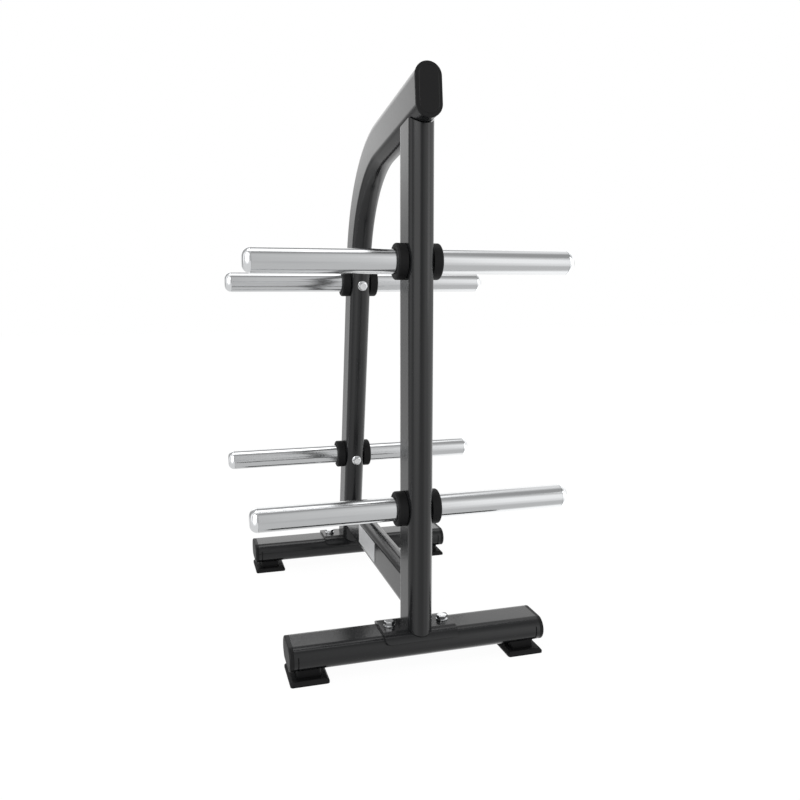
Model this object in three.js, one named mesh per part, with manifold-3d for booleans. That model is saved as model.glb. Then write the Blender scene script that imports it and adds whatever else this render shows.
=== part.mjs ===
// Plate tree: a free-standing rack that stores barbell weight plates, in millimetres.
// +X is to the right, +Y to the back and +Z up. The origin is on the floor, under the middle of its box.
// A front upright and a bent beam, which comes down as the rear leg, stand on two feet and are tied
// by a cross member near the floor. Four chromed bars pass right through them, level and crosswise.
import * as THREE from "three";
import { mergeVertices } from "three/addons/utils/BufferGeometryUtils.js";
import Module from "manifold-3d";

const wasm = await Module();
wasm.setup();

const { degToRad } = THREE.MathUtils;

// Fits and cuts
const gap = 0.3;
const beamSeam = 0.8;
const overrun = 10;

// Frame tube, flat-oval, of the beam, the front upright and the feet
const tubeWide = 50;
const tubeDeep = 100;
const tubeWall = 3;

// Layout of the frame
const footSpacing = 638;
const footLength = 522;
const beamHeight = 1116.5;
const beamOverhang = 67;
const beamFall = degToRad(7.25);
const legLean = degToRad(10.43);
const bendRadius = 308;

// Cross member, flat-oval, on edge
const braceWidth = 40;
const braceDepth = 90;
const braceWall = 2.5;
const braceHeight = 144.5;

// Blank name plate on the cross member's left side
const labelLong = 160;
const labelTall = 48;
const labelThick = 0.8;
const labelCorner = 2;
const labelSetback = 344.5;

// Storage bars, chromed tube for plates with a 50 mm hole
const hornLength = 670;
const hornDiameter = 48;
const hornWall = 3;
const hornRounding = 15;
const hornSpigot = 20;
const upperFrontHeight = 821.5;
const lowerFrontHeight = 329;
const upperRearHeight = 785.5;
const lowerRearHeight = 320.5;

// Rubber collars that the plates stop against
const collarDiameter = 71;
const collarThick = 20;
const collarRounding = 4;

// M12 hexagon bolts, washers and weld nuts
const boltDiameter = 12;
const boltAcrossFlats = 19;
const boltHeadHeight = 7.5;
const boltHeadChamfer = 1;
const boltTip = 4;
const washerDiameter = 24;
const washerThick = 2.5;
const nutHeight = 10;

// Saddle plates between the feet and the tubes that stand on them
const saddleLong = 154;
const saddleThick = 6;
const saddleSkirt = 17;
const saddleCorner = 10;
const saddleBoltSpacing = 114;

// Plastic end caps
const footCapThick = 8.7;
const footCapRounding = 3;
const beamCapThick = 5;
const beamCapRounding = 1.5;
const beamCapOverhang = 1;
const capPlugLength = 12;
const capPlugWall = 2.5;

// Slits near the ends of the feet
const slitWide = 2;
const slitInset = 8.5;
const slitDrop = 14.5;

// Rubber pads, pushed into the undersides of the feet
const padSpacing = 460;
const padWide = 78;
const padLong = 96;
const padHeight = 25.2;
const padRimHeight = 5.5;
const padBaseHeight = 10.5;
const padDraft = 4.5;
const padCorner = 5;
const padNeckWide = 48;
const padNeckLong = 62;
const padStemDiameter = 16;
const padBarbDiameter = 20;
const padBarbHeight = 6;

// Steps of round stretches
const ovalSteps = 5;
const bendSteps = 10;
const cornerSteps = 2;
const roundingSteps = 3;
const wideSides = 20;
const boltSides = 12;

// Finishes
const paint = { color: 0x3b3d40, roughness: 0.45, metalness: 0.3 };
const chrome = { color: 0xd6d8da, roughness: 0.12, metalness: 1 };
const zinc = { color: 0xb4b7ba, roughness: 0.35, metalness: 1 };
const rubber = { color: 0x1c1c1d, roughness: 0.85, metalness: 0 };
const plastic = { color: 0x202122, roughness: 0.6, metalness: 0 };
const foil = { color: 0xd9dadb, roughness: 0.4, metalness: 0 };

const sides = { left: -1, right: 1 };

// Heights and places worked out from the sizes above
const footAxisHeight = padHeight + gap + tubeWide / 2;
const legAt = (height) => footSpacing - (height - footAxisHeight) * Math.tan(legLean);
const saddleTop = tubeWide / 2 + gap + saddleThick;
const boltHole = boltDiameter + 2 * gap;
const hornHole = hornDiameter + 2 * gap;

// A closed geometry as a solid that can be joined and cut
function solid(geometry) {
  geometry.deleteAttribute("normal");
  geometry.deleteAttribute("uv");
  const { attributes, index } = mergeVertices(geometry);
  const vertProperties = attributes.position.array;
  const triVerts = new Uint32Array(index.array);
  return new wasm.Manifold(new wasm.Mesh({ numProp: 3, vertProperties, triVerts }));
}

function geometryOf(body) {
  const { vertProperties, triVerts, numProp } = body.getMesh();
  const geometry = new THREE.BufferGeometry();
  geometry.setAttribute("position", new THREE.BufferAttribute(vertProperties, numProp));
  geometry.setIndex(new THREE.BufferAttribute(triVerts, 1));
  geometry.computeVertexNormals();
  return geometry;
}

// Flat-oval outline: deep runs along Y over its two half rounds, wide along X across its flats
function ovalShape(wide, deep, grow = 0) {
  const radius = wide / 2 + grow;
  const flat = (deep - wide) / 2;
  const shape = new THREE.Shape();
  shape.absarc(0, flat, radius, 0, Math.PI);
  shape.absarc(0, -flat, radius, Math.PI, 2 * Math.PI);
  return shape;
}

function ovalTubeShape(wide, deep, wall) {
  const shape = ovalShape(wide, deep);
  shape.holes.push(ovalShape(wide, deep, -wall));
  return shape;
}

function roundedShape(width, length, corner) {
  const x = width / 2 - corner;
  const y = length / 2 - corner;
  const shape = new THREE.Shape();
  shape.absarc(x, y, corner, 0, Math.PI / 2);
  shape.absarc(-x, y, corner, Math.PI / 2, Math.PI);
  shape.absarc(-x, -y, corner, Math.PI, 1.5 * Math.PI);
  shape.absarc(x, -y, corner, 1.5 * Math.PI, 2 * Math.PI);
  return shape;
}

// Straight body along Z, centred on the origin
function extruded(shape, length, curveSegments = ovalSteps) {
  const geometry = new THREE.ExtrudeGeometry(shape, { depth: length, bevelEnabled: false, curveSegments });
  return geometry.translate(0, 0, -length / 2);
}

const alongX = (geometry) => geometry.rotateY(-Math.PI / 2);
const alongY = (geometry) => geometry.rotateX(-Math.PI / 2);

// Round body turned about Y, from a profile of radii and heights
function turned(profile, count = wideSides) {
  const points = profile.map(([radius, height]) => new THREE.Vector2(radius, height));
  return new THREE.LatheGeometry(points, count);
}

// Points round a quarter circle from its side to its top, by the centre and the radius
function quarter(radiusAt, heightAt, rounding) {
  return Array.from({ length: roundingSteps + 1 }, (_, step) => {
    const angle = (step / roundingSteps) * (Math.PI / 2);
    return [radiusAt + rounding * Math.cos(angle), heightAt + rounding * Math.sin(angle)];
  });
}

// Closed body through level outlines that have as many points each
function loft(levels, steps) {
  const rings = levels.map(([shape, height]) =>
    shape.getPoints(steps).map((point) => new THREE.Vector3(point.x, point.y, height)),
  );
  const count = rings[0].length;
  const top = (rings.length - 1) * count;
  const faces = [];
  for (let i = 0; i < count; i += 1) {
    const next = (i + 1) % count;
    for (let low = 0; low < top; low += count) {
      faces.push(low + i, low + next, low + next + count);
      faces.push(low + i, low + next + count, low + i + count);
    }
    if (i > 0 && next > 0) {
      faces.push(0, next, i);
      faces.push(top, top + i, top + next);
    }
  }
  const geometry = new THREE.BufferGeometry().setFromPoints(rings.flat());
  return geometry.setIndex(faces);
}

// Cylinder along Z that clears a hole
function drill(diameter, length) {
  const geometry = new THREE.CylinderGeometry(diameter / 2, diameter / 2, length, boltSides);
  return geometry.rotateX(Math.PI / 2);
}

// Storage bars: a place for each, with -Y towards its set bolt

function hornPlace(turn, back, height) {
  return new THREE.Matrix4().makeRotationX(turn).setPosition(0, back, height);
}

const frontPlace = (height) => hornPlace(Math.PI, 0, height);
const rearPlace = (height) => hornPlace(legLean, legAt(height), height);

const frontHorns = {
  upper_front: frontPlace(upperFrontHeight),
  lower_front: frontPlace(lowerFrontHeight),
};
const rearHorns = {
  upper_rear: rearPlace(upperRearHeight),
  lower_rear: rearPlace(lowerRearHeight),
};

// Cutter for a set bolt, from the bar's axis out past the face of its tube
function setBoltCutter() {
  const reach = tubeDeep / 2 + overrun;
  return drill(boltHole, reach).rotateX(Math.PI / 2).translate(0, -reach / 2, 0);
}

function boreForHorns(tube, places) {
  return Object.values(places).reduce((bored, place) => {
    const radius = hornHole / 2;
    const bore = new THREE.CylinderGeometry(radius, radius, tubeWide + 2 * overrun, wideSides);
    bore.rotateZ(Math.PI / 2).applyMatrix4(place);
    const boltHoleCutter = setBoltCutter().applyMatrix4(place);
    return bored.subtract(solid(bore)).subtract(solid(boltHoleCutter));
  }, tube);
}

// Frame

// Centre line of the bent tube, with stations at both ends and in even steps round the bend
class BentLine extends THREE.Curve {
  constructor(start, corner, end, radius) {
    super();
    const into = corner.clone().sub(start).normalize();
    const out = end.clone().sub(corner).normalize();
    const turn = into.angleTo(out);
    const axis = into.clone().cross(out).normalize();
    const centre = out.clone().sub(into).setLength(radius / Math.cos(turn / 2)).add(corner);
    const spoke = into.clone().multiplyScalar(-radius * Math.tan(turn / 2)).add(corner).sub(centre);
    this.points = [start];
    this.tangents = [into];
    for (let step = 0; step <= bendSteps; step += 1) {
      const angle = (turn * step) / bendSteps;
      this.points.push(spoke.clone().applyAxisAngle(axis, angle).add(centre));
      this.tangents.push(into.clone().applyAxisAngle(axis, angle));
    }
    this.points.push(end);
    this.tangents.push(out);
  }

  getPointAt(share) {
    return this.points[Math.round(share * (this.points.length - 1))].clone();
  }

  getTangentAt(share) {
    return this.tangents[Math.round(share * (this.tangents.length - 1))].clone();
  }
}

// Height of the beam's centre line at a distance behind the front upright's axis
const beamAt = (back) => beamHeight - back * Math.tan(beamFall);

// Where the beam's and the rear leg's centre lines would cross
function beamCorner() {
  const overFoot = beamAt(footSpacing) - footAxisHeight;
  const shrink = 1 - Math.tan(beamFall) * Math.tan(legLean);
  const back = footSpacing - (overFoot * Math.tan(legLean)) / shrink;
  return new THREE.Vector3(0, back, beamAt(back));
}

// Oval bar with the gap added all round, to cope a tube that ends on it
const grownOval = (length, grow = gap) => extruded(ovalShape(tubeWide, tubeDeep, grow), length);

// Outside of a saddle plate, in the frame of its foot
const saddleCutter = () => alongX(grownOval(saddleLong, saddleTop + gap - tubeWide / 2));

// Middle of the beam's front end, which is square to the beam
const beamEnd = new THREE.Vector3(0, -beamOverhang, beamAt(-beamOverhang));

function bentBeam() {
  const line = new BentLine(
    beamEnd,
    beamCorner(),
    new THREE.Vector3(0, footSpacing, footAxisHeight),
    bendRadius,
  );
  const tube = new THREE.ExtrudeGeometry(ovalTubeShape(tubeWide, tubeDeep, tubeWall), {
    steps: line.points.length - 1,
    extrudePath: line,
    curveSegments: ovalSteps,
  });
  const saddle = saddleCutter().translate(0, footSpacing, footAxisHeight);
  return geometryOf(boreForHorns(solid(tube).subtract(solid(saddle)), rearHorns));
}

function frontUpright() {
  const length = beamHeight - footAxisHeight;
  const tube = extruded(ovalTubeShape(tubeWide, tubeDeep, tubeWall), length);
  tube.translate(0, 0, footAxisHeight + length / 2);
  const beam = alongY(grownOval(2 * tubeDeep, beamSeam)).rotateX(-beamFall).translate(0, 0, beamHeight);
  const saddle = saddleCutter().translate(0, 0, footAxisHeight);
  const coped = solid(tube).subtract(solid(beam)).subtract(solid(saddle));
  return geometryOf(boreForHorns(coped, frontHorns));
}

function crossMember() {
  const length = legAt(braceHeight);
  const tube = alongY(extruded(ovalTubeShape(braceWidth, braceDepth, braceWall), length));
  tube.translate(0, length / 2, braceHeight);
  const upright = grownOval(2 * braceDepth).translate(0, 0, braceHeight);
  const leg = grownOval(2 * braceDepth).rotateX(legLean).translate(0, length, braceHeight);
  return geometryOf(solid(tube).subtract(solid(upright)).subtract(solid(leg)));
}

function namePlate() {
  const plate = extruded(roundedShape(labelTall, labelLong, labelCorner), labelThick, cornerSteps);
  return plate.rotateY(Math.PI / 2);
}

// Feet, each in a frame at the middle of its tube

function footTube() {
  const tube = solid(alongX(extruded(ovalTubeShape(tubeWide, tubeDeep, tubeWall), footLength)));
  return geometryOf(
    Object.values(sides).reduce((cut, side) => {
      const bolt = drill(boltHole, tubeWide).translate((side * saddleBoltSpacing) / 2, 0, tubeWide / 2);
      const stem = drill(padStemDiameter + 2 * gap, tubeWide);
      stem.translate((side * padSpacing) / 2, 0, -tubeWide / 2);
      const slit = new THREE.BoxGeometry(slitWide, tubeDeep + 2 * overrun, tubeWide);
      slit.translate(side * (footLength / 2 - slitInset), 0, -slitDrop);
      return cut.subtract(solid(bolt)).subtract(solid(stem)).subtract(solid(slit));
    }, tube),
  );
}

function saddlePlate() {
  const outer = solid(alongX(grownOval(saddleLong, saddleTop - tubeWide / 2)));
  const inner = solid(alongX(grownOval(saddleLong + 2 * overrun)));
  const tall = saddleTop + saddleSkirt;
  const front = alongY(extruded(roundedShape(saddleLong, tall, saddleCorner), tubeDeep + 2 * tubeWide));
  front.translate(0, 0, saddleTop - saddleSkirt + tall / 2);
  const plate = outer.subtract(inner).intersect(solid(front));
  return geometryOf(
    Object.values(sides).reduce((cut, side) => {
      const hole = drill(boltHole, tubeWide).translate((side * saddleBoltSpacing) / 2, 0, tubeWide / 2);
      return cut.subtract(solid(hole));
    }, plate),
  );
}

// End cap along +Z from the tube's end, with a hollow plug inside the tube
function endCap(thick, rounding, overhang) {
  const level = ([grow, height]) => [ovalShape(tubeWide, tubeDeep, overhang + grow - rounding), height];
  const levels = [level([rounding, 0]), ...quarter(0, thick - rounding, rounding).map(level)];
  const flange = solid(loft(levels, ovalSteps));
  const sleeve = ovalShape(tubeWide, tubeDeep, -tubeWall - gap);
  sleeve.holes.push(ovalShape(tubeWide, tubeDeep, -tubeWall - gap - capPlugWall));
  const into = (thick - rounding) / 2;
  const plug = extruded(sleeve, capPlugLength + into).translate(0, 0, (into - capPlugLength) / 2);
  return geometryOf(flange.add(solid(plug)));
}

function footPad() {
  const neck = roundedShape(padNeckWide, padNeckLong, padCorner);
  const rim = roundedShape(padWide, padLong, padCorner);
  const levels = [
    [rim, 0],
    [rim, padRimHeight],
    [roundedShape(padWide - 2 * padDraft, padLong - 2 * padDraft, padCorner), padBaseHeight],
    [neck, padBaseHeight],
    [neck, padHeight],
  ];
  const barbSeat = gap + tubeWall + gap;
  const barb = turned(
    [
      [0, -padBarbHeight],
      [padStemDiameter / 2, -padBarbHeight],
      [padStemDiameter / 2, barbSeat],
      [padBarbDiameter / 2, barbSeat],
      [padStemDiameter / 2, barbSeat + padBarbHeight],
      [0, barbSeat + padBarbHeight],
    ],
    boltSides,
  );
  barb.rotateX(Math.PI / 2).translate(0, 0, padHeight);
  return geometryOf(solid(loft(levels, cornerSteps)).add(solid(barb)));
}

// Fasteners, each with its axis along Y and its seat at zero

function hexBolt(shankLength) {
  const corner = boltAcrossFlats / Math.sqrt(3);
  const head = new THREE.CylinderGeometry(corner, corner, boltHeadHeight, 6);
  head.translate(0, boltHeadHeight / 2, 0);
  const crown = turned([
    [0, -overrun],
    [corner, -overrun],
    [corner, boltHeadHeight - boltHeadChamfer],
    [boltAcrossFlats / 2 - boltHeadChamfer / 2, boltHeadHeight],
    [0, boltHeadHeight],
  ]);
  const radius = boltDiameter / 2;
  const shank = new THREE.CylinderGeometry(radius, radius, shankLength + boltHeadHeight / 2, boltSides);
  shank.translate(0, (boltHeadHeight / 2 - shankLength) / 2, 0);
  return geometryOf(solid(head).intersect(solid(crown)).add(solid(shank)));
}

function washer() {
  const bore = boltHole / 2;
  const rim = washerDiameter / 2;
  return turned([[bore, 0], [rim, 0], [rim, washerThick], [bore, washerThick], [bore, 0]], boltSides);
}

function weldNut() {
  const corner = boltAcrossFlats / Math.sqrt(3);
  const nut = new THREE.CylinderGeometry(corner, corner, nutHeight, 6);
  const bore = new THREE.CylinderGeometry(boltHole / 2, boltHole / 2, 2 * nutHeight, boltSides);
  return geometryOf(solid(nut).subtract(solid(bore)));
}

// Storage bars and what is on them, turned about Y

function hornBar() {
  const half = hornLength / 2 - hornRounding - gap;
  const outer = hornDiameter / 2;
  const inner = outer - hornWall;
  const tube = turned([[inner, -half], [outer, -half], [outer, half], [inner, half], [inner, -half]]);
  return geometryOf(solid(tube.rotateZ(Math.PI / 2)).subtract(solid(setBoltCutter())));
}

function hornPlug() {
  const spigot = hornDiameter / 2 - hornWall - gap;
  return turned([
    [0, -hornSpigot],
    [spigot, -hornSpigot],
    [spigot, 0],
    [hornDiameter / 2, 0],
    ...quarter(hornDiameter / 2 - hornRounding, 0, hornRounding).slice(1),
    [0, hornRounding],
  ]);
}

function collar() {
  const bore = hornHole / 2;
  const rim = collarDiameter / 2;
  return turned([
    [bore, 0],
    [rim, 0],
    ...quarter(rim - collarRounding, collarThick - collarRounding, collarRounding),
    [bore, collarThick],
    [bore, 0],
  ]);
}

// Assembly

function mesh(name, geometry, finish, parent) {
  const piece = new THREE.Mesh(geometry, new THREE.MeshStandardMaterial(finish));
  piece.name = name;
  parent.add(piece);
  return piece;
}

function group(parent) {
  const frame = new THREE.Group();
  parent.add(frame);
  return frame;
}

function addFoot(parent, end, back) {
  const foot = group(parent);
  foot.position.set(0, back, footAxisHeight);
  mesh(`${end}_foot`, footTube(), paint, foot);
  mesh(`${end}_saddle_plate`, saddlePlate(), paint, foot);
  const boltSeat = saddleTop + gap + washerThick + gap;
  const nutCentre = tubeWide / 2 - tubeWall - gap - nutHeight / 2;
  const boltReach = boltSeat - nutCentre + nutHeight / 2 + boltTip;
  for (const [sideName, side] of Object.entries(sides)) {
    const place = `${end}_${sideName}`;
    const boltX = (side * saddleBoltSpacing) / 2;
    const cap = mesh(`${place}_foot_end_cap`, endCap(footCapThick, footCapRounding, 0), plastic, foot);
    cap.position.x = side * (footLength / 2 + gap);
    cap.rotation.y = (side * Math.PI) / 2;
    const pad = mesh(`${place}_foot_pad`, footPad(), rubber, foot);
    pad.position.set((side * padSpacing) / 2, 0, -footAxisHeight);
    const bolt = mesh(`${place}_saddle_bolt`, hexBolt(boltReach), zinc, foot);
    bolt.position.set(boltX, 0, boltSeat);
    const ring = mesh(`${place}_saddle_washer`, washer(), zinc, foot);
    ring.position.set(boltX, 0, saddleTop + gap);
    const nut = mesh(`${place}_weld_nut`, weldNut(), zinc, foot);
    nut.position.set(boltX, 0, nutCentre);
    for (const fastener of [bolt, ring, nut]) fastener.rotation.x = Math.PI / 2;
  }
}

function addHorn(parent, level, place) {
  const horn = group(parent);
  horn.applyMatrix4(place);
  mesh(`${level}_bar`, hornBar(), chrome, horn);
  for (const [sideName, side] of Object.entries(sides)) {
    const plug = mesh(`${level}_${sideName}_bar_plug`, hornPlug(), chrome, horn);
    plug.position.x = side * (hornLength / 2 - hornRounding);
    const stop = mesh(`${level}_${sideName}_collar`, collar(), rubber, horn);
    stop.position.x = side * (tubeWide / 2 + gap);
    for (const round of [plug, stop]) round.rotation.z = (-side * Math.PI) / 2;
  }
  const face = tubeDeep / 2 + gap;
  const boltSeat = face + washerThick + gap;
  const boltEnd = hornDiameter / 2 - hornWall - boltTip;
  const ring = mesh(`${level}_set_bolt_washer`, washer(), zinc, horn);
  ring.position.y = -face;
  const bolt = mesh(`${level}_set_bolt`, hexBolt(boltSeat - boltEnd), zinc, horn);
  bolt.position.y = -boltSeat;
  for (const fastener of [bolt, ring]) fastener.rotation.x = Math.PI;
}

const rack = new THREE.Group();
mesh("bent_beam", bentBeam(), paint, rack);
mesh("front_upright", frontUpright(), paint, rack);
mesh("cross_member", crossMember(), paint, rack);

const label = mesh("blank_name_plate", namePlate(), foil, rack);
label.position.set(-(braceWidth / 2 + gap + labelThick / 2), labelSetback, braceHeight);

const beamCap = mesh("beam_end_cap", endCap(beamCapThick, beamCapRounding, beamCapOverhang), plastic, rack);
beamCap.position.copy(beamEnd);
beamCap.rotation.x = Math.PI / 2 - beamFall;
beamCap.translateZ(gap);

addFoot(rack, "front", 0);
addFoot(rack, "rear", footSpacing);
for (const [level, place] of Object.entries({ ...frontHorns, ...rearHorns })) addHorn(rack, level, place);

// The rack stands over the origin
rack.updateMatrixWorld(true);
const box = new THREE.Box3().setFromObject(rack, true);
const middle = box.getCenter(new THREE.Vector3());
rack.position.set(-middle.x, -middle.y, -box.min.z);

const plateTree = new THREE.Group();
plateTree.add(rack);

export default plateTree;
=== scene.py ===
from functools import cache
from math import asin, atan2, cos, hypot, pi, radians, sin, sqrt, tan

import bmesh
import bpy
from bpy.props import FloatProperty, FloatVectorProperty, IntProperty, PointerProperty
from mathutils import Matrix, Vector


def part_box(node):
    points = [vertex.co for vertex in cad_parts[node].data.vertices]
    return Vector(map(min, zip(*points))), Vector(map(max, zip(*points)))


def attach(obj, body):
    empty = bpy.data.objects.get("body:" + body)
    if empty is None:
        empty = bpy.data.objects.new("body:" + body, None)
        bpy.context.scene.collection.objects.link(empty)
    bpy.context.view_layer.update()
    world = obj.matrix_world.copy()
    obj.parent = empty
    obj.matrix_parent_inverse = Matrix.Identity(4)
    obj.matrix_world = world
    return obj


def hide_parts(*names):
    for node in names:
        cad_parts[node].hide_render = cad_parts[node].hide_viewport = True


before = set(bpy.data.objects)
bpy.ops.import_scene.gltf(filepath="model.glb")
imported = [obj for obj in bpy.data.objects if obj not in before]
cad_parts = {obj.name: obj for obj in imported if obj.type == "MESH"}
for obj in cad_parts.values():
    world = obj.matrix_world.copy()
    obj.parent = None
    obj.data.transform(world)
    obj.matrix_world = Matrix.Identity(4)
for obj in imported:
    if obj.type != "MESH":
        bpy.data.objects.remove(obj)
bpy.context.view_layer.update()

bl_info = {
    "name": "Plate tree",
    "version": (1, 0, 0),
    "blender": (4, 5, 0),
    "location": "3D View > Sidebar > Plate tree",
    "description": "Builds the looks of a weight plate rack round its packed frame",
    "category": "Object",
}

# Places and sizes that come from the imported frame, in metres


def middle(node):
    low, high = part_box(node)
    return (low + high) / 2


def extent(node):
    low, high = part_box(node)
    return high - low


ENDS = ("front", "rear")
SIDES = {"left": -1, "right": 1}
CORNERS = [(end, side) for end in ENDS for side in SIDES]
FRONT_BARS = ("upper_front", "lower_front")
REAR_BARS = ("upper_rear", "lower_rear")
BARS = FRONT_BARS + REAR_BARS

UPRIGHT_BACK = middle("front_upright").y
FEET = {end: middle(f"{end}_foot") for end in ENDS}
TUBE_WIDTH = extent("front_upright").x
TUBE_DEPTH = extent("front_upright").y
BAR_CENTRES = {level: middle(f"{level}_bar") for level in BARS}
BAR_DIAMETER = extent("upper_front_bar").y
BAR_TUBE_LENGTH = extent("upper_front_bar").x

LEG_FOOT = FEET["rear"]
LEG_TOP = BAR_CENTRES["upper_rear"]
LEG_LEAN = atan2(LEG_FOOT.y - LEG_TOP.y, LEG_TOP.z - LEG_FOOT.z)


def leg_back(height):
    """Where the rear leg's centre line is at a height."""
    return LEG_FOOT.y - (height - LEG_FOOT.z) * tan(LEG_LEAN)


# What a user would change


def as_length(name, description, default):
    return FloatProperty(name=name, description=description, default=default, unit="LENGTH")


def as_angle(name, description, degrees):
    return FloatProperty(name=name, description=description, default=radians(degrees), subtype="ANGLE")


def as_colour(name, description, default):
    return FloatVectorProperty(name=name, description=description, default=default, subtype="COLOR")


class RackSizes(bpy.types.PropertyGroup):
    """Sizes of the rack that its packed boxes don't give."""

    gap: as_length("Gap", "Fit between touching pieces", 0.0003)
    wall: as_length("Tube wall", "Wall of the frame tube", 0.003)
    brace_wall: as_length("Cross member wall", "Wall of the cross member", 0.0025)
    beam_height: as_length("Beam height", "Beam's centre line over the upright", 1.1165)
    beam_fall: as_angle("Beam fall", "Fall of the beam to the back", 7.25)
    bend_radius: as_length("Bend radius", "Bend of the beam's centre line", 0.308)
    bend_steps: IntProperty(name="Bend steps", description="Stretches round the bend", default=56)
    round_steps: IntProperty(name="Round steps", description="Stretches round a tube's corner", default=12)
    seam: as_length("Seam", "Open seam under the beam", 0.0013)


class RackFinishes(bpy.types.PropertyGroup):
    """Colours of the rack's finishes."""

    paint: as_colour("Frame paint", "Graphite powder coat", (0.013, 0.0135, 0.0145))
    chrome: as_colour("Chrome", "Polished chrome plate", (0.68, 0.69, 0.7))
    zinc: as_colour("Zinc", "Bright zinc plate", (0.84, 0.85, 0.86))
    rubber: as_colour("Rubber", "Black moulded rubber", (0.0045, 0.0045, 0.005))
    plastic: as_colour("Plastic", "Black end caps", (0.005, 0.005, 0.0055))
    name_plate: as_colour("Name plate", "Bare satin plate", (0.86, 0.87, 0.88))


class RackStage(bpy.types.PropertyGroup):
    """Camera and lights."""

    lens: FloatProperty(name="Lens", description="Focal length", default=34.74, unit="CAMERA")
    camera_place: FloatVectorProperty(
        name="Camera place", description="Camera's place", default=(-0.4569, -1.7605, 0.7706), unit="LENGTH"
    )
    camera_fall: as_angle("Camera fall", "How far the camera looks down", 8.247)
    camera_turn: as_angle("Camera turn", "Turn of the camera to the right", 16.222)
    camera_roll: as_angle("Camera roll", "Lean of the picture", 0.027)
    ambient: FloatProperty(name="Ambient", description="Light from all round", default=0.62)
    room: FloatProperty(name="Room", description="Studio light on glossy surfaces", default=1.15)
    key: FloatProperty(name="Key lamp", description="Soft lamp, upper left", default=26.0, unit="POWER")
    fill: FloatProperty(name="Fill lamp", description="Soft lamp, right", default=8.0, unit="POWER")


def sizes():
    return bpy.context.scene.rack_sizes


def stage_settings():
    return bpy.context.scene.rack_stage


# Node trees


class Value:
    """A node's socket that Python's arithmetic works on: each step adds its Math node."""

    def __init__(self, graph, socket):
        self.graph = graph
        self.socket = socket

    def math(self, operation, *values):
        return self.graph.node("ShaderNodeMath", {"operation": operation}, dict(enumerate(values)))

    def __add__(self, other):
        return self.math("ADD", self, other)

    def __sub__(self, other):
        return self.math("SUBTRACT", self, other)

    def __rsub__(self, other):
        return self.math("SUBTRACT", other, self)

    def __mul__(self, other):
        return self.math("MULTIPLY", self, other)

    def __truediv__(self, other):
        return self.math("DIVIDE", self, other)

    __radd__ = __add__
    __rmul__ = __mul__


class Graph:
    """Adds nodes to a shader tree or a geometry tree."""

    def __init__(self, tree):
        self.tree = tree
        tree.nodes.clear()

    def node(self, kind, settings=None, inputs=None, output=0):
        """One node: its settings first, then the values or links of its sockets."""
        node = self.tree.nodes.new(kind)
        for name, setting in (settings or {}).items():
            if name == "stops":
                self.set_stops(node.color_ramp, setting)
            else:
                setattr(node, name, setting)
        for key, value in (inputs or {}).items():
            socket = node.inputs[key]
            for item in value if isinstance(value, list) else [value]:
                if isinstance(item, Value):
                    self.tree.links.new(item.socket, socket)
                else:
                    socket.default_value = item
        return Value(self, node.outputs[output]) if node.outputs else None

    @staticmethod
    def set_stops(ramp, stops):
        while len(ramp.elements) < len(stops):
            ramp.elements.new(1.0)
        for element, (place, grey) in zip(ramp.elements, stops):
            element.position = place
            element.color = (grey, grey, grey, 1.0)


class ShaderGraph(Graph):
    """Nodes that the finishes share."""

    def place(self, stretch=None):
        coordinates = self.node("ShaderNodeTexCoord", output="Object")
        if stretch is None:
            return coordinates
        return self.node("ShaderNodeMapping", None, {"Vector": coordinates, "Scale": stretch})

    def noise(self, place, scale, detail):
        inputs = {"Vector": place, "Scale": scale, "Detail": detail}
        return self.node("ShaderNodeTexNoise", None, inputs, "Fac")

    def ramp(self, value, *stops):
        return self.node("ShaderNodeValToRGB", {"stops": stops}, {0: value})

    def shade(self, amount, colour, darker, lighter):
        """A colour that varies between a darker and a lighter share of itself."""
        low = (*(part * darker for part in colour), 1.0)
        high = (*(part * lighter for part in colour), 1.0)
        amount_socket, low_socket, high_socket, colour_output = 0, 6, 7, 2
        inputs = {amount_socket: amount, low_socket: low, high_socket: high}
        return self.node("ShaderNodeMix", {"data_type": "RGBA"}, inputs, colour_output)

    def bump(self, height, strength, distance, under=None):
        """Small relief, which may lie over another one."""
        inputs = {"Strength": strength, "Distance": distance, "Height": height}
        if under is not None:
            inputs["Normal"] = under
        return self.node("ShaderNodeBump", None, inputs)

    def surface(self, **inputs):
        sockets = {name.replace("_", " "): value for name, value in inputs.items()}
        shader = self.node("ShaderNodeBsdfPrincipled", None, sockets)
        self.node("ShaderNodeOutputMaterial", None, {"Surface": shader})


class TreeGraph(Graph):
    """A geometry tree with named inputs."""

    def __init__(self, name, **inputs):
        super().__init__(bpy.data.node_groups.new(name, "GeometryNodeTree"))
        sockets = self.tree.interface
        sockets.new_socket(name="Geometry", in_out="OUTPUT", socket_type="NodeSocketGeometry")
        for label, kind in {"Geometry": "Geometry", **inputs, "Material": "Material"}.items():
            label = label.replace("_", " ")
            sockets.new_socket(name=label, in_out="INPUT", socket_type=f"NodeSocket{kind}")
        self.given = self.tree.nodes.new("NodeGroupInput")

    def input(self, name):
        return Value(self, self.given.outputs[name])

    def finish(self, geometry):
        """Ends the tree in real faces with their material."""
        real = self.node("GeometryNodeRealizeInstances", None, {0: geometry})
        inputs = {"Geometry": real, "Material": self.input("Material")}
        dressed = self.node("GeometryNodeSetMaterial", None, inputs)
        self.node("NodeGroupOutput", None, {0: dressed})
        return self.tree


MERGE_DISTANCE = 0.00001


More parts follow.
